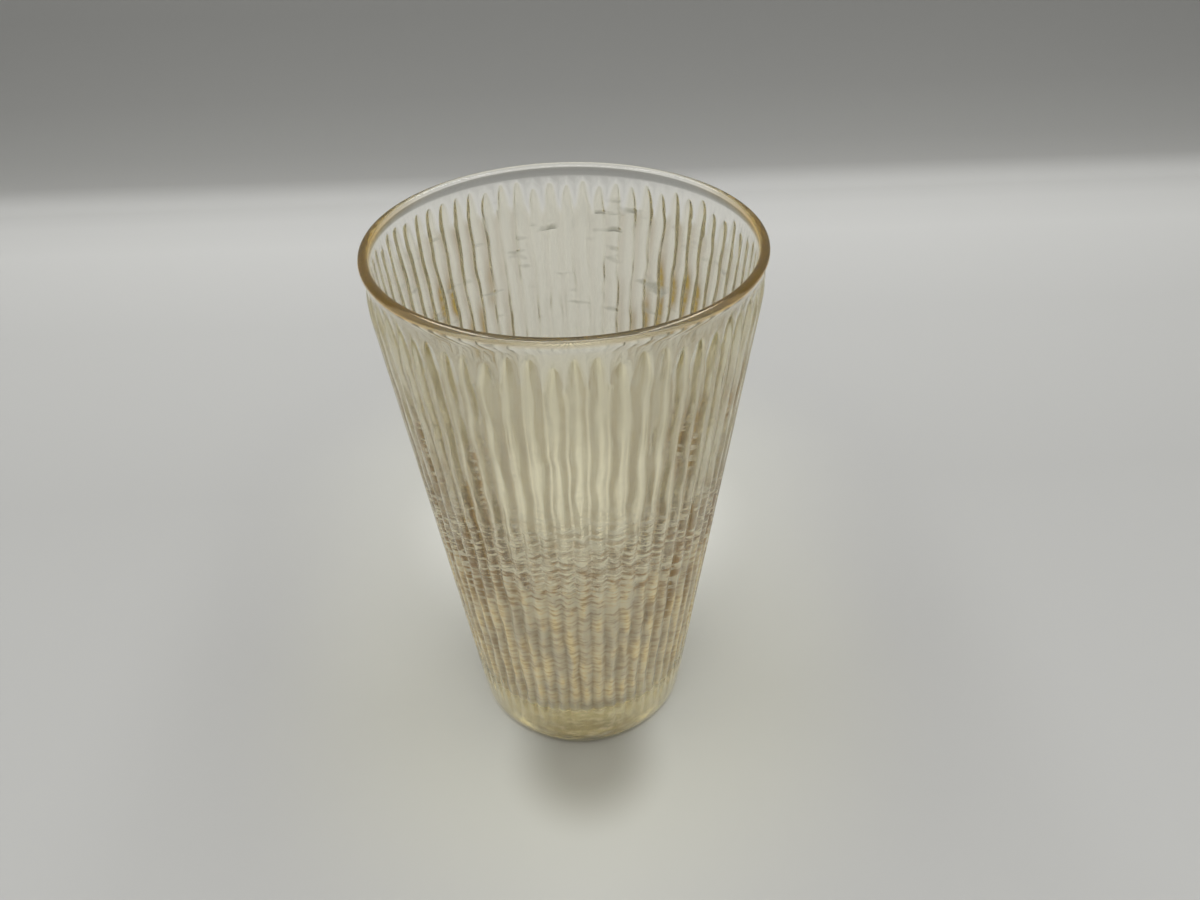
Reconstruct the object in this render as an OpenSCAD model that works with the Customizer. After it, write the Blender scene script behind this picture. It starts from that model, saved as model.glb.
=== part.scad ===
// A tall tapered drinking glass, pressed in one piece. Its wall carries upright ribs like
// tree bark: broad crowned ribs, wandering valleys between them, and rounded finger tips a
// few millimetres under a plain rim. The bottom is thick and solid.
// The one glass is drawn in three zones that meet face to face: base, bark_wall and lip.
// Origin: the centre of the base, on the table. +Z runs up the axis of the glass.

/* [Overall] */
// Height from the table to the top of the rim
glass_h = 133; // [100:1:170]
// Outside diameter of the rim, at its widest line
mouth_d = 82; // [70:1:95]
// Diameter over the ribs, where their slope meets the table
foot_d = 56; // [44:1:66]

/* [Base] */
// Height of the cavity's floor above the table
floor_h = 14; // [6:0.5:30]
// Rounding between the cavity's floor and its wall
floor_round = 4.5; // [1:0.5:10]
// Rounding of the outer edge, where the glass meets the table
heel_round = 3.3; // [1:0.1:6]
// Width of the flat ring that the glass stands on
ring_w = 3; // [1:0.5:8]
// Depth of the shallow dish inside that ring
dish_depth = 1.2; // [0.4:0.1:3]

/* [Wall and rim] */
// Thickness of the wall behind the valleys, at the cavity's floor
low_wall_t = 2.25; // [1.2:0.05:4]
// Thickness of the rim
rim_t = 2.1; // [1.2:0.1:3.2]
// How far the rim's bead stands out past the plain band under it
bead_out = 0.4; // [0.1:0.05:0.8]

/* [Bark] */
// Number of ribs round the glass
rib_n = 63; // [40:1:72]
// Height of the ribs' crowns above the bottoms of the valleys
rib_h = 0.9; // [0.2:0.05:1.2]
// Width of a valley with its slopes, measured round the mouth; it narrows towards the foot
valley_w = 2.4; // [1:0.1:2.8]
// How far a valley wanders to each side, measured round the mouth
wander_w = 0.3; // [0:0.05:0.5]
// Length of a valley's slow bends
long_wave = 34; // [20:1:60]
// Length of a valley's quick bends
short_wave = 15; // [8:1:19]
// How far the cavity's rounding ends below the full ribs
start_up = 1.5; // [0.5:0.1:8]
// Height above the table at which the valleys have faded out
fade_end = 5.5; // [3:0.5:7]
// Distance from the top of the rim down to the ribs' tips, on average
tip_drop = 4.8; // [3.6:0.1:14]
// How far one rib's tip may stand above or below the others
tip_scatter = 1; // [0:0.1:1.5]
// Height over which a rib's end slopes off and narrows like a finger tip
tip_round = 5; // [2:0.1:6]

/* [Hidden] */
$fn = 128;

// Pale straw, see-through
glass_colour = [0.84, 0.79, 0.62, 0.55];
// Overrun of the cavity's outline past the solid that it is cut from
over = 1;
// Plain glass between the highest rib tip and the lip zone
tip_gap = 0.6;
// Height from one ring of bark points to the next
row_step = 7.6;
// Angle that spreads the ribs' bends so that no two alike stand side by side
golden_turn = 137.508;
// Part of a valley's wander that its slow bends make
slow_share = 0.55;
// How much a valley's width swells and shrinks along it
swell_share = 0.15;
// How much of a valley's depth it loses where it is shallow
shallow_share = 0.3;
// How deep the valleys are where the base takes them over and lets them fade
fade_share = 0.5;
// Round one rib: valley, edge, crown, edge. For each, how deep it lies along the rib, how deep
// at the shoulder of the tip, and how far below the tip the rib ends there
column_shares = [[1, 1, 0.7], [0.3, 0.65, 0.15], [0, 0.5, 0], [0.3, 0.65, 0.15]];
// Where the shoulder of a tip lies between the last full ring and the rib's end
shoulder_share = 0.6;

mouth_r = mouth_d / 2;
foot_r = foot_d / 2;
rim_z = glass_h - rim_t / 2;
neck_z = rim_z - rim_t / 2;
// The full ribs start here, and the base ends
start_z = floor_h + floor_round + start_up;
// The ribs have ended here, and the lip starts
lip_z = glass_h - tip_drop + tip_scatter + tip_gap;

// The cone that holds the bottoms of the valleys and the plain band under the rim
valley_slope = (mouth_r - bead_out - foot_r + rib_h) / rim_z;
function valley_r(z) = foot_r - rib_h + valley_slope * z;
// The cone that holds the ribs' crowns and the plain outside of the base
function crown_r(z) = valley_r(z) + rib_h;
// The cone of the cavity's wall
cavity_foot_r = valley_r(floor_h) - low_wall_t;
cavity_slope = (mouth_r - rim_t - cavity_foot_r) / (rim_z - floor_h);
function cavity_r(z) = cavity_foot_r + cavity_slope * (z - floor_h);

// Centre of a circle that touches a level line at z and a sloping side of radius side_r at
// the circle's own height; and the point where it touches the side
function touch_centre(z, size, side_r, slope) = [side_r - size / cos(atan(slope)), z + size];
function touch_point(centre, size, slope) =
    centre + size * [cos(atan(slope)), -sin(atan(slope))];

heel_centre = touch_centre(0, heel_round, crown_r(heel_round), valley_slope);
floor_centre = touch_centre(floor_h, floor_round, cavity_r(floor_h + floor_round), cavity_slope);
// The dish is a shallow cap of a sphere inside the resting ring
dish_w = heel_centre[0] - ring_w;
dish_r = (dish_w * dish_w + dish_depth * dish_depth) / (2 * dish_depth);

// Half section of the solid foot, with its rounded heel
module foot_outline() {
    polygon([
        [0, 0],
        [heel_centre[0], 0],
        heel_centre,
        touch_point(heel_centre, heel_round, valley_slope),
        [crown_r(start_z), start_z],
        [0, start_z]
    ]);
    translate(heel_centre) circle(r = heel_round);
}

// Half section of the cavity's lower end, with its rounded floor
module cavity_outline() {
    polygon([
        [0, floor_h],
        [floor_centre[0], floor_h],
        floor_centre,
        touch_point(floor_centre, floor_round, cavity_slope),
        [cavity_r(start_z + over), start_z + over],
        [0, start_z + over]
    ]);
    translate(floor_centre) circle(r = floor_round);
}

// Angle of a width measured round the mouth
function turn(w) = w / mouth_r * 180 / PI;
// Start angle of rib k's own bends
function phase(k) = golden_turn * k * k;

// Angle of the valley before rib k, at height z
function valley_turn(k, z) =
    360 * k / rib_n + turn(wander_w) * (
        slow_share * sin(360 * z / long_wave + phase(k % rib_n))
        + (1 - slow_share) * sin(360 * z / short_wave + 2 * phase(k % rib_n))
    );

// A round rod from one point to another, and an overrun past the second
module rod(from, to, r) {
    run = to - from;
    translate(from)
        rotate([0, acos(run[2] / norm(run)), atan2(run[1], run[0])])
            cylinder(r = r, h = norm(run) + over);
}

// The valleys' lower ends on the base: a rod leaves the surface slowly towards the table
fade_depth = rib_h * fade_share;
fade_half_w = valley_w / 2 * crown_r(start_z) / mouth_r;
fade_r = (fade_half_w * fade_half_w + fade_depth * fade_depth) / (2 * fade_depth);
function around(r, a, z) = [r * cos(a), r * sin(a), z];

module fading_valley(k) {
    rod(
        around(crown_r(fade_end) + fade_r, valley_turn(k, fade_end), fade_end),
        around(crown_r(start_z) + fade_r - fade_depth, valley_turn(k, start_z), start_z),
        fade_r
    );
}

module base() {
    color(glass_colour)
        difference() {
            rotate_extrude()
                difference() {
                    foot_outline();
                    cavity_outline();
                    translate([0, dish_depth - dish_r]) circle(r = dish_r);
                }
            for (k = [0:rib_n - 1]) fading_valley(k);
        }
}

// Angle from that valley's bottom to the edge of a rib beside it
function edge_turn(k, z) =
    turn(valley_w / 2) * (1 + swell_share * sin(360 * z / short_wave + 3 * phase(k % rib_n)));

// How deep that valley is at height z, from 0 to 1
function valley_depth(k, z) =
    1 - shallow_share * (1 + sin(360 * z / long_wave + 5 * phase(k % rib_n))) / 2;

// Height of rib k's tip, and of the tips beside a column
function tip_z(k) = glass_h - tip_drop + tip_scatter * sin(7 * phase(k % rib_n));
function column_tip_z(k, c) = c == 0 ? (tip_z(k) + tip_z(k + rib_n - 1)) / 2 : tip_z(k);

// Angle of column c of rib k: its valley, first edge, crown and last edge
function column_turn(k, c, z) =
    let (
        first = valley_turn(k, z) + edge_turn(k, z),
        last = valley_turn(k + 1, z) - edge_turn(k + 1, z)
    )
    c == 0 ? valley_turn(k, z) : c == 1 ? first : c == 2 ? (first + last) / 2 : last;

// Rings of points: along the ribs, then the tips' shoulders, the tips and the lip zone
row_n = round((glass_h - tip_drop - tip_round - start_z) / row_step);
shoulder_row = row_n + 1;
tip_row = row_n + 2;
last_row = row_n + 3;

function column_z(k, c, row) =
    let (
        full_z = column_tip_z(k, c) - tip_round,
        end_z = column_tip_z(k, c) - tip_round * column_shares[c][2]
    )
    row <= row_n ? start_z + (full_z - start_z) * row / row_n
    : row == shoulder_row ? full_z + (end_z - full_z) * shoulder_share
    : row == tip_row ? end_z
    : lip_z;

function column_depth(k, c, row, z) =
    row == 0 ? (c == 0 ? fade_share : 0)
    : row >= tip_row ? 1
    : row == shoulder_row ? column_shares[c][1]
    : c == 0 ? valley_depth(k, z)
    : column_shares[c][0];

function bark_point(k, c, row) =
    let (
        z = column_z(k, c, row),
        r = crown_r(z) - rib_h * column_depth(k, c, row, z)
    )
    around(r, column_turn(k, c, z), z);

// Columns round the glass, and the rings of the whole closed wall: up outside, down inside
column_n = 4 * rib_n;
function bark_ring(row) = [for (k = [0:rib_n - 1], c = [0:3]) bark_point(k, c, row)];
function cavity_ring(z) =
    [for (i = [0:column_n - 1]) around(cavity_r(z), 360 * i / column_n, z)];
wall_rings = concat(
    [for (row = [0:last_row]) bark_ring(row)],
    [cavity_ring(lip_z), cavity_ring(start_z)]
);
ring_n = len(wall_rings);

module bark_wall() {
    color(glass_colour)
        polyhedron(
            points = [for (ring = wall_rings) each ring],
            faces = [
                for (r = [0:ring_n - 1], i = [0:column_n - 1])
                    let (
                        next_r = (r + 1) % ring_n,
                        next_i = (i + 1) % column_n,
                        here = r * column_n + i,
                        beside = r * column_n + next_i,
                        above = next_r * column_n + i,
                        across = next_r * column_n + next_i
                    )
                    each [[here, above, beside], [beside, above, across]]
            ]
        );
}

module lip() {
    color(glass_colour)
        rotate_extrude() {
            polygon([
                [cavity_r(lip_z), lip_z],
                [valley_r(lip_z), lip_z],
                [valley_r(neck_z), neck_z],
                [mouth_r, rim_z],
                [mouth_r - rim_t, rim_z]
            ]);
            translate([mouth_r - rim_t / 2, rim_z]) circle(r = rim_t / 2);
        }
}

base();
bark_wall();
lip();
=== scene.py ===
import math

import bpy
import numpy as np
from mathutils import Matrix, Vector


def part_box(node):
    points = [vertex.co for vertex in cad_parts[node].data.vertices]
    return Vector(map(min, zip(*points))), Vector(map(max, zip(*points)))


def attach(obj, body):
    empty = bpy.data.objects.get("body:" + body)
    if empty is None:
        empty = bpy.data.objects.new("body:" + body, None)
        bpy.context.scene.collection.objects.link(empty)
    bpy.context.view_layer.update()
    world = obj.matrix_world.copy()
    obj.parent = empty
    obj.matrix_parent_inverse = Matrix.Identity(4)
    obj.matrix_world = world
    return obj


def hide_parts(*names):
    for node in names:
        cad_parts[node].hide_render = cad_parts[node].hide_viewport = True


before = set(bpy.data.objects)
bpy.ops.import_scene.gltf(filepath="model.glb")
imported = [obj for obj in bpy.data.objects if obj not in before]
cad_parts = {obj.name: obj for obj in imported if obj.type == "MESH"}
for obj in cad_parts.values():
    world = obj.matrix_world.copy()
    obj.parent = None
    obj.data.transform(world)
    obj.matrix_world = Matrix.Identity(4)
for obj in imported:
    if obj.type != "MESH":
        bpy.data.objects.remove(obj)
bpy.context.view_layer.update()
mm = 0.001

# what the frame says of the glass: where its base zone ends, and its lip zone
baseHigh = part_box("base")[1]
lipLow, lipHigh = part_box("lip")


def deselectAll():
    if bpy.context.object and bpy.context.object.mode != "OBJECT":
        bpy.ops.object.mode_set(mode="OBJECT")
    bpy.ops.object.select_all(action="DESELECT")


def hexColour(code):
    # an sRGB hex value as the linear colour that a socket takes
    channels = [int(code[i : i + 2], 16) / 255 for i in (0, 2, 4)]
    linear = [c / 12.92 if c <= 0.04045 else ((c + 0.055) / 1.055) ** 2.4 for c in channels]
    return (*linear, 1)


# settings that several nodes share; a colour mix takes its share in socket 0 and its colours in
# 6 and 7, and gives its result in 2
multiply = {"operation": "MULTIPLY"}
mixColours = {"data_type": "RGBA"}
smoothly = {"interpolation_type": "SMOOTHSTEP"}


def addNode(tree, kind, settings=None, inputs=None):
    # each input is a value, or a socket to link
    node = tree.nodes.new(kind)
    for name, value in (settings or {}).items():
        setattr(node, name, value)
    for name, value in (inputs or {}).items():
        if isinstance(value, bpy.types.NodeSocket):
            tree.links.new(value, node.inputs[name])
        else:
            node.inputs[name].default_value = value
    return node


def newMaterial(name):
    material = bpy.data.materials.new(name)
    material.use_nodes = True
    material.node_tree.nodes.clear()
    return material, material.node_tree


def ramp(value, start, full):
    # 0 up to the start, 1 past the full end and straight between; it may run either way
    return np.clip((value - start) / (full - start), 0, 1)


def atHeights(z, profile):
    # strength at a height, from a profile of heights in mm and the strengths there
    heights, strengths = zip(*profile)
    return np.interp(z, np.array(heights) * mm, strengths)


glass = {
    "height": lipHigh.z,
    "mouthRadius": lipHigh.x,
    "crownAtBase": baseHigh.x,  # radius over the ribs where the base zone ends
    "baseTop": baseHigh.z,
    "rimThickness": 2.1 * mm,
    "beadOut": 0.4 * mm,
    "ribHeight": 0.9 * mm,
    "lowWall": 2.25 * mm,
    "floorHeight": 14 * mm,
    "floorRound": 4.5 * mm,
    "heelRound": 3.3 * mm,
    "ringWidth": 3 * mm,
    "dishDepth": 1.2 * mm,
    "fadeEnd": 5.5 * mm,  # the valleys fade out downwards to this height
    "fadeOver": 4 * mm,  # and start to fade this far over the base zone
    "ribs": 63,
    "valleyWidth": 3.2 * mm,
    "wanderWidth": 0.3 * mm,
    "longWave": 34 * mm,
    "shortWave": 15 * mm,
    "slowShare": 0.55,  # part of the wander that the slow bends make
    "tipDrop": 4.8 * mm,
    "tipScatter": 1 * mm,
    "scatterOver": 8 * mm,  # a rib is stretched over this height to put its tip in place
    "tipRound": 7.2 * mm,  # the fingers slope off and narrow over this height
    "tipBlend": 2 * mm,  # and their valleys turn into plain band over this one
    "tipShare": 0.18,  # width of a finger's blunt end, as a share of the rib's
    "tipBluntness": 0.7,  # less is blunter
    "flankMost": 0.86,  # share of a rib's half width that its flank can take
    "swellSlow": 0.12,  # how much the flanks' width swells, in slow waves and in small steps
    "swellQuick": 0.16,
    "swellStep": 4.1 * mm,
    "shallowSlow": 0.2,  # how much of its depth a valley loses, in slow waves and in small steps
    "shallowQuick": 0.08,
    "jogWidth": 0.16 * mm,  # small kinks of the valleys, and how far apart they are
    "jogStep": 2.6 * mm,
    "dentDepth": 0.04 * mm,
    "dentStep": 2.1 * mm,
    # the mesh: faces along each curve of the half section, and heights of the wall's rings
    "dishSteps": 6,
    "cornerSteps": 6,
    "rimSteps": 14,
    "insideSteps": 8,
    "rimSweep": (-10, 190),  # degrees; the rim's arc runs on past level, into the slopes
    "insideStart": 1.2 * mm,  # the inside's rings start this far under that arc
    "insideEnd": 0.4 * mm,  # and are spaced to this far under the centre of the floor's rounding
    "rowStep": 1.15 * mm,
    "tipRows": [8.2, 7.2, 6.1, 5.1, 4.1, 3.3, 2.6, 2.0, 1.45, 0.95, 0.5, 0.2, 0],  # mm under tips
    "mergeWithin": 0.002 * mm,
    "touch": 0.1 * mm,  # heights closer than this count as the same
}

# the glass's half section
rimZ = glass["height"] - glass["rimThickness"] / 2
rimRadius = glass["mouthRadius"] - glass["rimThickness"] / 2
lipZ = lipLow.z
tipMean = glass["height"] - glass["tipDrop"]
valleyAtRim = glass["mouthRadius"] - glass["beadOut"]
valleySlope = (valleyAtRim - glass["crownAtBase"] + glass["ribHeight"]) / (rimZ - glass["baseTop"])


def crownRadius(z):
    return glass["crownAtBase"] + valleySlope * (z - glass["baseTop"])


def valleyRadius(z):
    return crownRadius(z) - glass["ribHeight"]


cavityFoot = valleyRadius(glass["floorHeight"]) - glass["lowWall"]
cavityAtRim = glass["mouthRadius"] - glass["rimThickness"]
cavitySlope = (cavityAtRim - cavityFoot) / (rimZ - glass["floorHeight"])


def cavityRadius(z):
    return cavityFoot + cavitySlope * (z - glass["floorHeight"])


def arc(centre, radius, start, end, steps):
    # points on a round stretch, from one angle to another, in degrees from outwards to up
    angles = [math.radians(start + (end - start) * i / steps) for i in range(steps + 1)]
    return [(centre[0] + radius * math.cos(a), centre[1] + radius * math.sin(a)) for a in angles]


def halfSection():
    # from the axis under the glass, out over the heel, up the wall, over the rim and down inside
    sideLean = math.degrees(math.atan(valleySlope))
    cavityLean = math.degrees(math.atan(cavitySlope))
    heelRound, floorRound, dishDepth = glass["heelRound"], glass["floorRound"], glass["dishDepth"]
    heel = (crownRadius(heelRound) - heelRound / math.cos(math.radians(sideLean)), heelRound)
    dishRadius = heel[0] - glass["ringWidth"]
    sphere = (dishRadius ** 2 + dishDepth ** 2) / (2 * dishDepth)
    dishRadii = np.linspace(0, dishRadius, glass["dishSteps"] + 1)
    dish = [(r, math.sqrt(sphere ** 2 - r * r) + dishDepth - sphere) for r in dishRadii]
    heelArc = arc(heel, heelRound, -90, -sideLean, glass["cornerSteps"])
    wallFoot = heelArc[-1][1]
    tipRows = [tipMean - row * mm for row in glass["tipRows"]]
    rowCount = round((tipRows[0] - wallFoot) / glass["rowStep"])
    wallRows = [*np.linspace(wallFoot, tipRows[0], rowCount + 1)[1:-1], *tipRows, lipZ]
    wall = [(crownRadius(z), z) for z in wallRows]
    neckZ = rimZ - glass["rimThickness"] / 2
    neck = (valleyRadius(neckZ), neckZ)
    rim = arc((rimRadius, rimZ), glass["rimThickness"] / 2, *glass["rimSweep"], glass["rimSteps"])
    floorZ = glass["floorHeight"] + floorRound
    corner = (cavityRadius(floorZ) - floorRound / math.cos(math.radians(cavityLean)), floorZ)
    cornerArc = arc(corner, floorRound, -cavityLean, -90, glass["cornerSteps"])
    insideTop, insideFoot = rim[-1][1] - glass["insideStart"], floorZ - glass["insideEnd"]
    insideRows = np.linspace(insideTop, insideFoot, glass["insideSteps"] + 1)[:-1]
    inside = [(cavityRadius(z), z) for z in insideRows]
    return [*dish, *heelArc, *wall, neck, *rim, *inside, *cornerArc, (0, glass["floorHeight"])]


def spinSection(name, points, steps):
    # one point is pulled along the half section, and the line is turned round the axis
    deselectAll()
    bpy.ops.mesh.primitive_plane_add(size=2 * mm)
    piece = bpy.context.object
    piece.name = name
    piece.data.name = name
    bpy.ops.object.mode_set(mode="EDIT")
    bpy.ops.mesh.select_all(action="SELECT")
    bpy.ops.mesh.merge(type="CENTER")
    here = Vector((points[0][0], 0, points[0][1]))
    bpy.ops.transform.translate(value=here)
    for r, z in points[1:]:
        there = Vector((r, 0, z))
        bpy.ops.mesh.extrude_region_move(TRANSFORM_OT_translate={"value": there - here})
        here = there
    bpy.ops.object.mode_set(mode="OBJECT")
    turned = piece.modifiers.new("turned", "SCREW")
    turned.steps = steps
    turned.render_steps = steps
    turned.use_merge_vertices = True
    turned.merge_threshold = glass["mergeWithin"]
    bpy.ops.object.modifier_apply(modifier=turned.name)
    bpy.ops.object.mode_set(mode="EDIT")
    bpy.ops.mesh.select_all(action="SELECT")
    bpy.ops.mesh.remove_doubles(threshold=glass["mergeWithin"])
    bpy.ops.mesh.normals_make_consistent(inside=False)
    bpy.ops.object.mode_set(mode="OBJECT")
    return piece


def turn(width):
    # angle of a width measured round the mouth
    return width / glass["mouthRadius"]


goldenTurn = math.radians(137.508)  # spreads the ribs' bends, so that no two alike are neighbours


def phase(k):
    # start angle of rib k's own bends
    return goldenTurn * k * k


def wave(z, length, start):
    return np.sin(2 * np.pi * z / length + start)


def scattered(k, j, salt):
    # a number from 0 to 1 that looks random, the same each run; the salt tells its uses apart
    return np.modf(np.abs(np.sin(k * 12.9898 + j * 78.233 + salt * 37.719) * 43758.5453))[0]


def jagged(k, z, step, salt):
    # from -1 to 1, in straight runs from one knot to the next along a rib
    t = z / step
    j = np.floor(t)
    here, there = scattered(k, j, salt), scattered(k, j + 1, salt)
    return 2 * (here + (there - here) * (t - j)) - 1


def valleyTurn(k, z):
    # how far the valley before rib k wanders and jogs from its even place
    slow = glass["slowShare"] * wave(z, glass["longWave"], phase(k))
    quick = (1 - glass["slowShare"]) * wave(z, glass["shortWave"], 2 * phase(k))
    jog = turn(glass["jogWidth"]) * jagged(k, z, glass["jogStep"], 1)
    return turn(glass["wanderWidth"]) * (slow + quick) + jog


def fingerShare(below):
    # half width of a rib at some distance below its tip, as a share of the full one
    u = ramp(below, 0, glass["tipRound"])
    rounded = (1 - (1 - u) ** 2) ** glass["tipBluntness"]
    return glass["tipShare"] + (1 - glass["tipShare"]) * rounded


# round one rib: how far each column stands from its valley, as a share of the valley's half
# width or of the crown, and how deep the wall lies there
valleyColumns = [(0.0, 1.0), (0.33, 0.7), (0.67, 0.36), (1.0, 0.07)]
crownColumns = [(0.3, 0.0), (0.7, 0.0)]
columnsPerRib = 2 * len(valleyColumns) - 1 + len(crownColumns)


def pressBark(piece):
    # moves the points of the plain wall on to the ribs, and says where each one lies
    points = np.empty(len(piece.data.vertices) * 3)
    piece.data.vertices.foreach_get("co", points)
    points = points.reshape(-1, 3)
    radius = np.hypot(points[:, 0], points[:, 1])
    z = points[:, 2].copy()
    inWall = radius > (crownRadius(z) + cavityRadius(z)) / 2
    outside = inWall & (z > glass["heelRound"]) & (z < lipZ + glass["touch"])
    ribs = glass["ribs"]
    columns = ribs * columnsPerRib
    angles = np.arctan2(points[:, 1], points[:, 0])
    column = np.rint(angles / (2 * np.pi) * columns).astype(int) % columns
    rib = column // columnsPerRib
    place = column % columnsPerRib
    pitch = 2 * np.pi / ribs
    behind, ahead = (rib - 1) % ribs, (rib + 1) % ribs
    below = tipMean - z
    inFinger = ramp(below, glass["tipRound"], glass["tipRound"] - glass["tipBlend"])

    def flankWidth(k, salt):
        swell = glass["swellSlow"] * wave(z, glass["shortWave"], 3 * phase(k))
        swell += glass["swellQuick"] * jagged(k, z, glass["swellStep"], salt)
        return turn(glass["valleyWidth"] / 2) * (1 + swell) * fingerShare(below)

    def deepness(k):
        slow = 1 - glass["shallowSlow"] * (1 + wave(z, glass["longWave"], 5 * phase(k))) / 2
        quick = 1 - glass["shallowQuick"] * (1 - jagged(k, z, glass["jogStep"], 3))
        return slow * quick + (1 - slow * quick) * inFinger

    # the feet and the crown's edges of the rib that each point belongs to
    valleyHere = rib * pitch + valleyTurn(rib, z)
    valleyNext = (rib + 1) * pitch + valleyTurn(ahead, z)
    middle = (valleyHere + valleyNext) / 2
    reach = (valleyNext - valleyHere) / 2 * fingerShare(below)
    footHere, footNext = middle - reach, middle + reach
    edgeHere = footHere + np.minimum(flankWidth(rib, 2), glass["flankMost"] * reach)
    edgeNext = footNext - np.minimum(flankWidth(ahead, 4), glass["flankMost"] * reach)
    angle = np.where(place == 0, valleyHere, 0)
    depth = np.where(place == 0, deepness(rib), 0)
    for i, (share, deep) in enumerate(valleyColumns[1:], 1):
        # beside a finger, the first column of the flank moves down to its foot
        toFoot = inFinger if i == 1 else 0
        here, there = place == i, place == columnsPerRib - i
        angle[here] = (footHere + (edgeHere - footHere) * share * (1 - toFoot))[here]
        angle[there] = (footNext - (footNext - edgeNext) * share * (1 - toFoot))[there]
        depth[here] = (deepness(rib) * deep * (1 - toFoot) + toFoot)[here]
        depth[there] = (deepness(ahead) * deep * (1 - toFoot) + toFoot)[there]
    for i, (share, deep) in enumerate(crownColumns):
        here = place == len(valleyColumns) + i
        angle[here] = (edgeHere + (edgeNext - edgeHere) * share)[here]
        dents = (1 + jagged(rib, z, glass["dentStep"], 5 + i)) / 2
        depth[here] = (deep + glass["dentDepth"] / glass["ribHeight"] * dents)[here]
    # the fingers slope off, level with the plain band at their tips
    slopeOff = ramp(below, glass["tipRound"], 0) ** 3
    depth = np.where(place == 0, depth, 1 - (1 - depth) * (1 - slopeOff))
    depth *= ramp(z, glass["fadeEnd"], glass["baseTop"] + glass["fadeOver"])
    # some tips stand higher than others, and a valley ends between its two neighbours' tips
    ownLift, lastLift = np.sin(7 * phase(rib)), np.sin(7 * phase(behind))
    lift = glass["tipScatter"] * np.where(place == 0, (ownLift + lastLift) / 2, ownLift)
    lift *= ramp(below, glass["tipRound"] + glass["scatterOver"], glass["tipRound"])
    lift *= z < lipZ - glass["touch"]
    newRadius = crownRadius(z + lift) - glass["ribHeight"] * depth
    pressed = np.stack((newRadius * np.cos(angle), newRadius * np.sin(angle), z + lift), axis=1)
    points[outside] = pressed[outside]
    piece.data.vertices.foreach_set("co", points.ravel())
    radius = np.maximum(radius, glass["mergeWithin"])
    return {
        "outside": outside,
        "place": place,
        "nearest": np.where(place < len(valleyColumns), rib, ahead),  # the nearest valley
        "z": z,
        "below": below,
        "inFinger": inFinger,
        "depth": depth,
        "side": np.abs(points[:, 0]) / radius,  # 0 at the front and back, 1 at the sides
        "back": points[:, 1] / radius,  # -1 at the front, 1 at the back
        "rimBack": points[:, 1] / glass["mouthRadius"],
    }


marking = {
    # how strong each mark is at some heights over the table, in mm
    "heights": {
        "streak": [(40, 0.6), (60, 1), (108, 1), (120, 0)],
        # painted shade in the valleys, low down at the front
        "lowValleyShade": [(6, 0.1), (18, 0.5), (50, 0.5), (66, 0)],
        "wrinkle": [
            (4, 0.4), (18, 0.4), (54, 0.45), (64, 0.9), (76, 0.9), (84, 0.5), (92, 0.12), (129, 0),
        ],
        "hatch": [(20, 0.6), (45, 1), (105, 1), (120, 0)],
        "milk": [(16, 0), (24, 0.86), (60, 0.86), (84, 0)],
        "crack": [(92, 0), (98, 1), (122, 1), (126, 0)],
        "rough": [(10, 0), (20, 0.36), (62, 0.36), (76, -0.12)],
    },
    # where round the glass a mark starts and where it is full: shares of the way to the sides,
    # and to the back, which are below 0 in front
    "streakSides": (0.2, 0.6),
    "brownBack": (0, 0.3),
    "frontFrom": (0.5, -0.1),
    "crackBack": (0, 0.5),
    "roughFront": (0, -2 / 3),
    "wornBack": (0.1, 0.7),
    "wornFront": (-0.72, -0.92),
    # the valleys' brown, partly the lustre's and partly painted shade: everywhere, more at the
    # sides, and more again there at the back
    "brown": (0.12, 0.2, 0.3),
    "stretchStep": 13 * mm,  # length of the streaks, and of the clear stretches between them
    "stretchMean": 0.4,
    "stretchSwing": 1.8,
    # powers of the valley's depth: a higher one keeps the brown nearer to the bottom
    "brownPower": 1.3,
    "streakPower": 0.6,
    # what is lost of some marks: at the back, in the valleys, and where the rim is worn
    "lowValleyShadeLoss": 0.85,
    "wrinkleLoss": 0.8,
    "milkLoss": 0.45,
    "wearLoss": 0.85,
    "lustreLoss": 0.7,  # in brown valleys at the front
    "frontWear": 0.7,  # the rim's wear in front, as a share of that at the back
    "bandLustre": 0.25,
    "bandFrost": (0.35, -0.2),  # and how it changes towards the back
    "beadFrom": (-1 * mm, -0.4 * mm),  # heights from the middle of the rim
    # the straw line where the cavity's floor turns up: its height over the floor, and its reach
    "strawRise": 1.4 * mm,
    "strawReach": 1.8 * mm,
}


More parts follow.
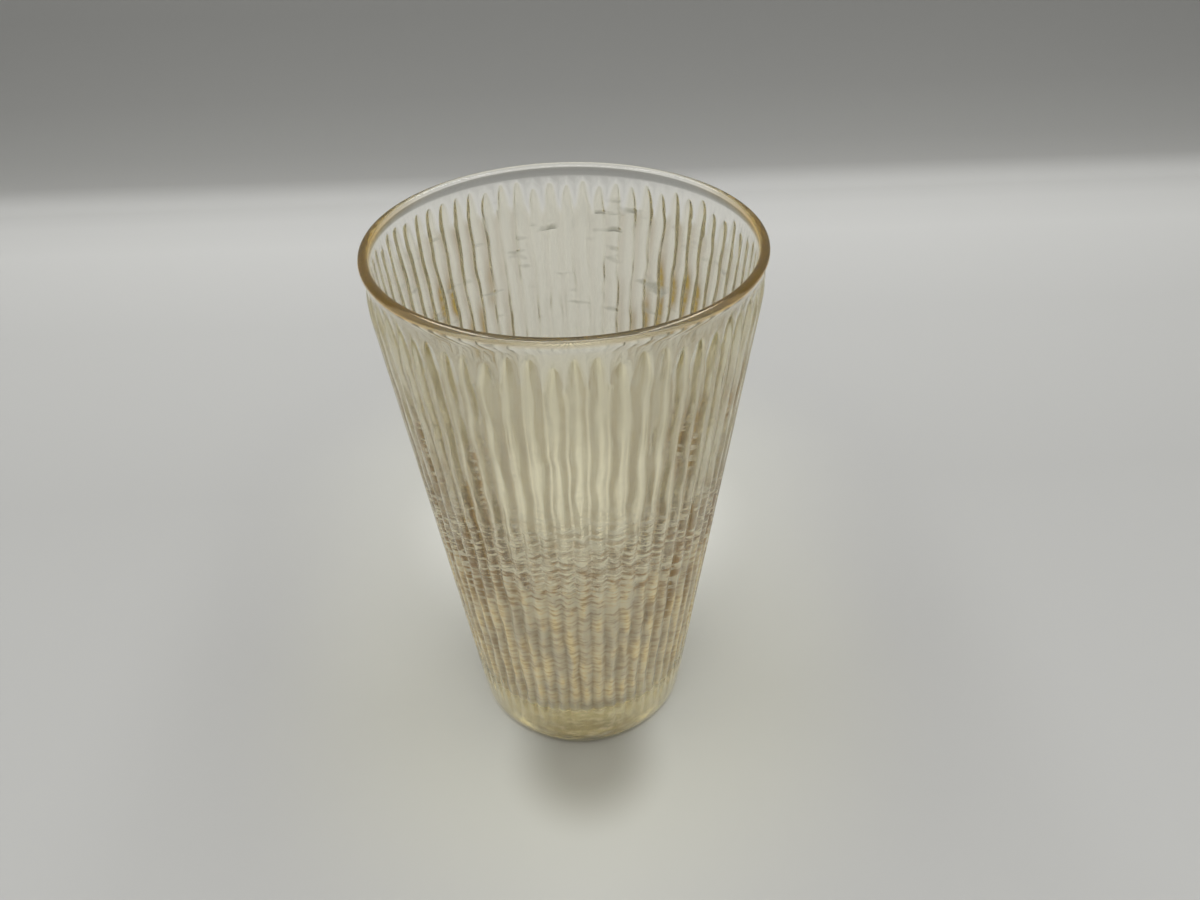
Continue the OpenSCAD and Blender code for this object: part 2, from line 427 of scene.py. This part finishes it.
def markLustre(piece, wall):
    # gives each point the strengths that the glass's material reads
    place, z, outside, back = wall["place"], wall["z"], wall["outside"], wall["back"]
    atFoot = (place <= 1) | (place == columnsPerRib - 1)
    ribbed = np.where(atFoot, 1 - wall["inFinger"], wall["below"] > glass["touch"])
    inValley = np.clip(wall["depth"], 0, 1) * (1 - wall["inFinger"])
    at = {name: atHeights(z, profile) for name, profile in marking["heights"].items()}
    sides = ramp(wall["side"], *marking["streakSides"])
    front = ramp(back, *marking["frontFrom"])
    # the valleys are browner: a little everywhere from the lustre, and painted shade on top of
    # that, low down at the front and most in streaks on two sides of the glass
    everywhere, atSides, atBack = marking["brown"]
    plain = everywhere + sides * (atSides + atBack * ramp(back, *marking["brownBack"]))
    low = at["lowValleyShade"] * (1 - marking["lowValleyShadeLoss"] * (1 - front))
    swing = jagged(wall["nearest"], z, marking["stretchStep"], 6)
    stretch = np.clip(marking["stretchMean"] + marking["stretchSwing"] * swing, 0, 1)
    streaks = inValley ** marking["streakPower"] * stretch * sides * at["streak"]
    brown = np.maximum(inValley ** marking["brownPower"] * np.maximum(plain, low), streaks)
    # fine level wrinkles: in one zone all round, and as hatching along the brown valleys
    wrinkles = np.maximum(at["wrinkle"], brown * at["hatch"])
    wrinkles *= 1 - marking["wrinkleLoss"] * (1 - front)
    milk = (1 - marking["milkLoss"] * inValley) * ribbed * front * at["milk"]
    crack = at["crack"] * ramp(back, *marking["crackBack"])
    # the plain band is smoother than the bark, and the low front is roughest
    band = marking["bandFrost"][0] + marking["bandFrost"][1] * back
    rougher = at["rough"] * ramp(back, *marking["roughFront"])
    frost = (band + (1 - band) * ribbed) * (1 + rougher)
    marks = {"crinkle": wrinkles, "crack": crack, "milk": milk, "frost": frost}
    marks = {name: np.where(outside, values, 0.0) for name, values in marks.items()}
    # the straw colour gathers where the cavity's floor turns up
    straw = ramp(np.abs(z - glass["floorHeight"] - marking["strawRise"]), marking["strawReach"], 0)
    marks["valley"] = np.where(outside, brown, straw)
    # the rim's lustre is worn off at the back, and partly in front
    worn = ramp(wall["rimBack"], *marking["wornBack"])
    worn += marking["frontWear"] * ramp(wall["rimBack"], *marking["wornFront"])
    marks["bead"] = ramp(z - rimZ, *marking["beadFrom"]) * (1 - marking["wearLoss"] * worn)
    lustre = marks["bead"] + np.where(outside, ribbed + marking["bandLustre"], 0)
    marks["lustre"] = np.clip(lustre, 0, 1) * (1 - marking["lustreLoss"] * brown * front)
    for name, values in marks.items():
        marked = piece.data.attributes.new(name, "FLOAT", "POINT")
        marked.data.foreach_set("value", values)
    piece.data.update()


def makePressedGlass():
    # soda-lime glass, pressed and fire polished: clear at the rim and inside, softly frosted over
    # the bark, straw where it is thick. A thin metal-oxide lustre on the outside makes it shine
    # warmly and is milky in patches; the valleys' brown is partly the lustre and partly painted
    # shade.
    look = {
        "ior": 1.51,
        "clearness": 0.99,  # the rest is a faint haze
        "roughness": 0.22,  # where the bark scatters
        "coatRoughness": 0.1,
        "coatIor": 1.6,
        "coatHex": "FFFDF2",
        "beadCoatHex": "FFE6AE",
        "glassHex": "FFFFFF",
        "milkHex": "FAE4AE",  # patches on the ribs, low down
        "milkTint": 1.2,
        "valleyHex": "98700C",  # brown in the valleys: partly thicker lustre, partly painted shade
        "valleyTint": 1.3,
        "grimeAndShadeHex": "AC844A",  # darker brown in the wrinkles: partly thicker lustre, partly painted shade
        "crestHex": "FFFAE4",  # the wrinkles' crests are milky
        "crestMilk": 0.7,
        "crackHex": "A9A9A2",
        "absorbHex": "F2ECCF",
        "absorbDensity": 36.0,
        # each pattern's width, height and detail
        "wrinkleSize": (3.4 * mm, 1.0 * mm, 3.0),
        "crackSize": (9.0 * mm, 2.8 * mm, 1.0),
        "blotchSize": (4.0 * mm, 11.0 * mm, 2.0),
        "patternRoughness": 0.55,
        # where a pattern starts to show, where it is full, and what shows of it everywhere
        "grimeAndShadeRange": (0.51, 0.62, 0.0),
        "crestRange": (0.5, 0.4, 0.0),
        "crackRange": (0.63, 0.74, 0.0),
        "blotchRange": (0.38, 0.58, 0.5),
        "wrinkleDepth": 0.34 * mm,
        "crackDepth": 0.09 * mm,
    }
    material, tree = newMaterial("pressedGlass")
    place = addNode(tree, "ShaderNodeTexCoord")
    valley, bead, crinkle, crack, milky, frost, lustre = (
        addNode(tree, "ShaderNodeAttribute", {"attribute_name": name}).outputs["Fac"]
        for name in ("valley", "bead", "crinkle", "crack", "milk", "frost", "lustre")
    )
    patterns = []
    for width, height, detail in (look["wrinkleSize"], look["crackSize"], look["blotchSize"]):
        stretched = addNode(tree, "ShaderNodeMapping", inputs={
            "Vector": place.outputs["Object"],
            "Scale": (1 / width, 1 / width, 1 / height),
        })
        patterns.append(addNode(tree, "ShaderNodeTexNoise", inputs={
            "Vector": stretched.outputs["Vector"],
            "Scale": 1.0,
            "Detail": detail,
            "Roughness": look["patternRoughness"],
        }).outputs["Fac"])
    wrinkles, crackNoise, blotchNoise = patterns
    grimeAndShade, crests, cracks, blotches = (
        addNode(tree, "ShaderNodeMapRange", inputs={
            "Value": pattern,
            "From Min": start,
            "From Max": full,
            "To Min": least,
        }).outputs["Result"]
        for pattern, (start, full, least) in (
            (wrinkles, look["grimeAndShadeRange"]),
            (wrinkles, look["crestRange"]),
            (crackNoise, look["crackRange"]),
            (blotchNoise, look["blotchRange"]),
        )
    )
    # each pattern shows where its mark is
    relief, grimeAndShadeShare, crestShare, crackShare, milk, valleyShare, roughness = (
        addNode(tree, "ShaderNodeMath", multiply, {0: mark, 1: pattern}).outputs["Value"]
        for mark, pattern in (
            (crinkle, wrinkles),
            (crinkle, grimeAndShade),
            (crinkle, crests),
            (crack, cracks),
            (milky, blotches),
            (valley, look["valleyTint"]),
            (frost, look["roughness"]),
        )
    )
    milkShare, crestMilk = (
        addNode(tree, "ShaderNodeMath", multiply, {0: share, 1: by}).outputs["Value"]
        for share, by in ((milk, look["milkTint"]), (crestShare, look["crestMilk"]))
    )
    wrinkled = addNode(tree, "ShaderNodeBump", inputs={
        "Height": relief,
        "Distance": look["wrinkleDepth"],
        "Strength": 1.0,
    })
    cracked = addNode(tree, "ShaderNodeBump", {"invert": True}, {
        "Height": crackShare,
        "Distance": look["crackDepth"],
        "Strength": 1.0,
        "Normal": wrinkled.outputs["Normal"],
    })
    tint = hexColour(look["glassHex"])
    # over the glass's tint go milk patches, the valleys' brown and the wrinkles' darker brown,
    # both partly painted shade, then pale crests and grey cracks
    for share, code in (
        (milkShare, look["milkHex"]),
        (valleyShare, look["valleyHex"]),
        (grimeAndShadeShare, look["grimeAndShadeHex"]),
        (crestShare, look["crestHex"]),
        (crackShare, look["crackHex"]),
    ):
        layer = addNode(tree, "ShaderNodeMix", mixColours, {0: share, 6: tint, 7: hexColour(code)})
        tint = layer.outputs[2]
    coatTint = addNode(tree, "ShaderNodeMix", mixColours, {
        0: bead,
        6: hexColour(look["coatHex"]),
        7: hexColour(look["beadCoatHex"]),
    })
    allMilk = addNode(tree, "ShaderNodeMath", {"operation": "MAXIMUM"}, {0: milk, 1: crestMilk})
    clearness = addNode(tree, "ShaderNodeMath", {"operation": "SUBTRACT"}, {
        0: look["clearness"],
        1: allMilk.outputs["Value"],
    })
    shader = addNode(tree, "ShaderNodeBsdfPrincipled", inputs={
        "Base Color": tint,
        "Roughness": roughness,
        "Normal": cracked.outputs["Normal"],
        "IOR": look["ior"],
        "Transmission Weight": clearness.outputs["Value"],
        "Coat Weight": lustre,
        "Coat Roughness": look["coatRoughness"],
        "Coat IOR": look["coatIor"],
        "Coat Tint": coatTint.outputs[2],
    })
    volume = addNode(tree, "ShaderNodeVolumeAbsorption", inputs={
        "Color": hexColour(look["absorbHex"]),
        "Density": look["absorbDensity"],
    })
    addNode(tree, "ShaderNodeOutputMaterial", inputs={
        "Surface": shader.outputs["BSDF"],
        "Volume": volume.outputs["Volume"],
    })
    return material


studio = {
    # painted light and shade of the paper at some distances along it, in mm: over the floor,
    # lighter towards the back, and up the back wall, darker the higher it is
    "paintedPaperShades": [
        (-260, "BDBDBB"), (80, "BFBFBD"), (200, "CDCDCB"), (286, "DDDDDB"), (321, "DADAD8"),
        (336, "D3D3D1"), (350, "C9C9C7"), (358, "BFBFBD"), (367, "B5B5B3"), (379, "ACACAA"),
        (395, "A5A5A3"), (410, "9F9F9D"), (431, "9A9A98"), (452, "969694"),
    ],
    # painted light and shade standing for what the glass casts on the paper, pools of light round
    # and behind the foot and a painted contact shadow in front of it: centre, full within, none
    # beyond, shade
    "paintedPools": [
        ((0, 0, 0), 40 * mm, 105 * mm, "CBCBC2"),
        ((0, 0, 0), 20 * mm, 30 * mm, "FFF8E2"),
        ((0, 75 * mm, 0), 35 * mm, 120 * mm, "D4D4CD"),
        ((0, 65 * mm, 0), 12 * mm, 64 * mm, "FFFFFA"),
        ((0, -32 * mm, 0), 6 * mm, 24 * mm, "A3A196"),
    ],
    "floorHalf": 1500 * mm,
    "floorFront": -260 * mm,  # the table's near edge, out of the picture
    "wallY": 352 * mm,
    "wallHeight": 700 * mm,
    "coveRadius": 12 * mm,
    "coveSteps": 6,
    "tentHex": "D6D6D4",  # the light tent's cloth at the sides
    "ceilingHex": "ECECEA",  # and above
    "roomHex": "383634",  # the dim room that shows low down at the open front
    "plainHex": "8E8E8C",  # what the camera sees past the paper
    # where a direction's height or depth starts to show each of these, and where it is full
    "ceilingFrom": (0.55, 0.9),
    "roomBefore": (0.1, -0.35),
    "roomBelow": (0.32, 0.12),
    # the tent's strips of lamps: size across and along, place, lean in degrees, power in watts
    "strips": [
        (90 * mm, 560 * mm, (-235 * mm, 120 * mm, 550 * mm), 0, 0.8),
        (90 * mm, 560 * mm, (235 * mm, 120 * mm, 550 * mm), 0, 0.8),
        (460 * mm, 60 * mm, (0, -230 * mm, 480 * mm), 26, 0.3),
    ],
    # light is turned many times inside the ribs and the rim before it leaves
    "glassBounces": 64,
    "allBounces": 72,
}


def makePaper():
    # matt grey-white paper with painted light and shade: lighter towards the back of the floor,
    # darker the higher up the back wall, and painted pools of light and a painted contact shadow
    # round the glass
    shades = studio["paintedPaperShades"]
    material, tree = newMaterial("studioPaper")
    place = addNode(tree, "ShaderNodeTexCoord")
    part = addNode(tree, "ShaderNodeSeparateXYZ", inputs={"Vector": place.outputs["Object"]})
    along = addNode(tree, "ShaderNodeMath", inputs={0: part.outputs["Y"], 1: part.outputs["Z"]})
    start, end = shades[0][0], shades[-1][0]
    level = addNode(tree, "ShaderNodeMapRange", inputs={
        "Value": along.outputs["Value"],
        "From Min": start * mm,
        "From Max": end * mm,
    })
    shadeRamp = addNode(tree, "ShaderNodeValToRGB", inputs={"Fac": level.outputs["Result"]})
    stops = shadeRamp.color_ramp.elements
    while len(stops) < len(shades):
        stops.new(0.5)
    for stop, (distance, code) in zip(stops, shades):
        stop.position = (distance - start) / (end - start)
        stop.color = hexColour(code)
    shade = shadeRamp.outputs["Color"]
    # the painted pools of light and the painted contact shadow, mixed in over the paper's shade
    for centre, near, far, code in studio["paintedPools"]:
        away = addNode(tree, "ShaderNodeVectorMath", {"operation": "DISTANCE"}, {
            0: place.outputs["Object"],
            1: centre,
        })
        share = addNode(tree, "ShaderNodeMapRange", smoothly, {
            "Value": away.outputs["Value"],
            "From Min": far,
            "From Max": near,
        })
        paintedPool = {0: share.outputs["Result"], 6: shade, 7: hexColour(code)}
        shade = addNode(tree, "ShaderNodeMix", mixColours, paintedPool).outputs[2]
    shader = addNode(tree, "ShaderNodeBsdfDiffuse", inputs={"Color": shade})
    addNode(tree, "ShaderNodeOutputMaterial", inputs={"Surface": shader.outputs["BSDF"]})
    return material


def buildPaper():
    # floor, cove and back wall are one sheet: its back edge is pulled up along the cove
    deselectAll()
    bpy.ops.mesh.primitive_plane_add(size=2 * studio["floorHalf"])
    sheet = bpy.context.object
    bpy.ops.object.mode_set(mode="EDIT")
    bpy.ops.mesh.select_all(action="DESELECT")
    bpy.ops.object.mode_set(mode="OBJECT")
    for vertex in sheet.data.vertices:
        vertex.select = vertex.co.y > 0
        if vertex.co.y < 0:
            vertex.co.y = studio["floorFront"]
    bpy.ops.object.mode_set(mode="EDIT")
    steps, r, wallY = studio["coveSteps"], studio["coveRadius"], studio["wallY"]
    turns = [math.pi / 2 * i / steps for i in range(steps + 1)]
    path = [(wallY - r + r * math.sin(a), r - r * math.cos(a)) for a in turns]
    path.append((wallY, studio["wallHeight"]))
    bpy.ops.transform.translate(value=(0, path[0][0] - studio["floorHalf"], 0))
    for (y0, z0), (y1, z1) in zip(path, path[1:]):
        bpy.ops.mesh.extrude_region_move(TRANSFORM_OT_translate={"value": (0, y1 - y0, z1 - z0)})
    bpy.ops.object.mode_set(mode="OBJECT")
    bpy.ops.object.shade_smooth()
    sheet.name = "studioPaper"
    sheet.data.materials.append(makePaper())


def hangStrips():
    for across, along, place, lean, power in studio["strips"]:
        lamp = bpy.data.lights.new("stripLight", "AREA")
        lamp.shape = "RECTANGLE"
        lamp.size = across
        lamp.size_y = along
        lamp.energy = power
        lampObject = bpy.data.objects.new("stripLight", lamp)
        lampObject.location = place
        lampObject.rotation_euler.x = math.radians(lean)
        bpy.context.collection.objects.link(lampObject)


def lightTent():
    # the world stands for the tent's bright cloth, with the room at its open front
    world = bpy.data.worlds.new("lightTent")
    bpy.context.scene.world = world
    world.use_nodes = True
    tree = world.node_tree
    tree.nodes.clear()
    place = addNode(tree, "ShaderNodeTexCoord")
    way = addNode(tree, "ShaderNodeSeparateXYZ", inputs={"Vector": place.outputs["Generated"]})
    above, before, below = (
        addNode(tree, "ShaderNodeMapRange", smoothly, {
            "Value": way.outputs[axis],
            "From Min": start,
            "From Max": full,
        }).outputs["Result"]
        for axis, (start, full) in (
            ("Z", studio["ceilingFrom"]),
            ("Y", studio["roomBefore"]),
            ("Z", studio["roomBelow"]),
        )
    )
    room = addNode(tree, "ShaderNodeMath", multiply, {0: before, 1: below})
    rays = addNode(tree, "ShaderNodeLightPath")
    seen = hexColour(studio["tentHex"])
    for share, code in (
        (above, studio["ceilingHex"]),
        (room.outputs["Value"], studio["roomHex"]),
        (rays.outputs["Is Camera Ray"], studio["plainHex"]),
    ):
        layer = addNode(tree, "ShaderNodeMix", mixColours, {0: share, 6: seen, 7: hexColour(code)})
        seen = layer.outputs[2]
    background = addNode(tree, "ShaderNodeBackground", inputs={"Color": seen})
    addNode(tree, "ShaderNodeOutputWorld", inputs={"Surface": background.outputs["Background"]})


cameraSet = {
    "place": Vector((0, -169.28, 210.54)) * mm,  # in front, and a hand's width above the rim
    "yaw": 2.134,  # degrees to the right
    "pitch": 38.09,  # degrees down
    "roll": -1.131,
    "lens": 27.03,
    "sensor": 36,
    "nearest": 10 * mm,  # nothing nearer than this shows
}


def placeCamera():
    data = bpy.data.cameras.new("camera")
    data.lens = cameraSet["lens"]
    data.sensor_width = cameraSet["sensor"]
    data.clip_start = cameraSet["nearest"]
    camera = bpy.data.objects.new("camera", data)
    bpy.context.collection.objects.link(camera)
    turned = (
        Matrix.Rotation(math.radians(-cameraSet["yaw"]), 4, "Z")
        @ Matrix.Rotation(math.radians(90 - cameraSet["pitch"]), 4, "X")
        @ Matrix.Rotation(math.radians(cameraSet["roll"]), 4, "Z")
    )
    camera.matrix_world = Matrix.Translation(cameraSet["place"]) @ turned
    bpy.context.scene.camera = camera


print("camera")
placeCamera()

print("studio")
buildPaper()
hangStrips()
lightTent()

print("glass")
tumbler = spinSection("tumbler", halfSection(), glass["ribs"] * columnsPerRib)
markLustre(tumbler, pressBark(tumbler))
bpy.ops.object.shade_smooth()
tumbler.data.materials.clear()
tumbler.data.materials.append(makePressedGlass())
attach(tumbler, "root")
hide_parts("base", "bark_wall", "lip")
print("triangles", sum(len(p.vertices) - 2 for p in tumbler.data.polygons))

bpy.context.scene.view_settings.view_transform = "Standard"
bpy.context.scene.cycles.transmission_bounces = studio["glassBounces"]
bpy.context.scene.cycles.glossy_bounces = studio["glassBounces"]
bpy.context.scene.cycles.max_bounces = studio["allBounces"]
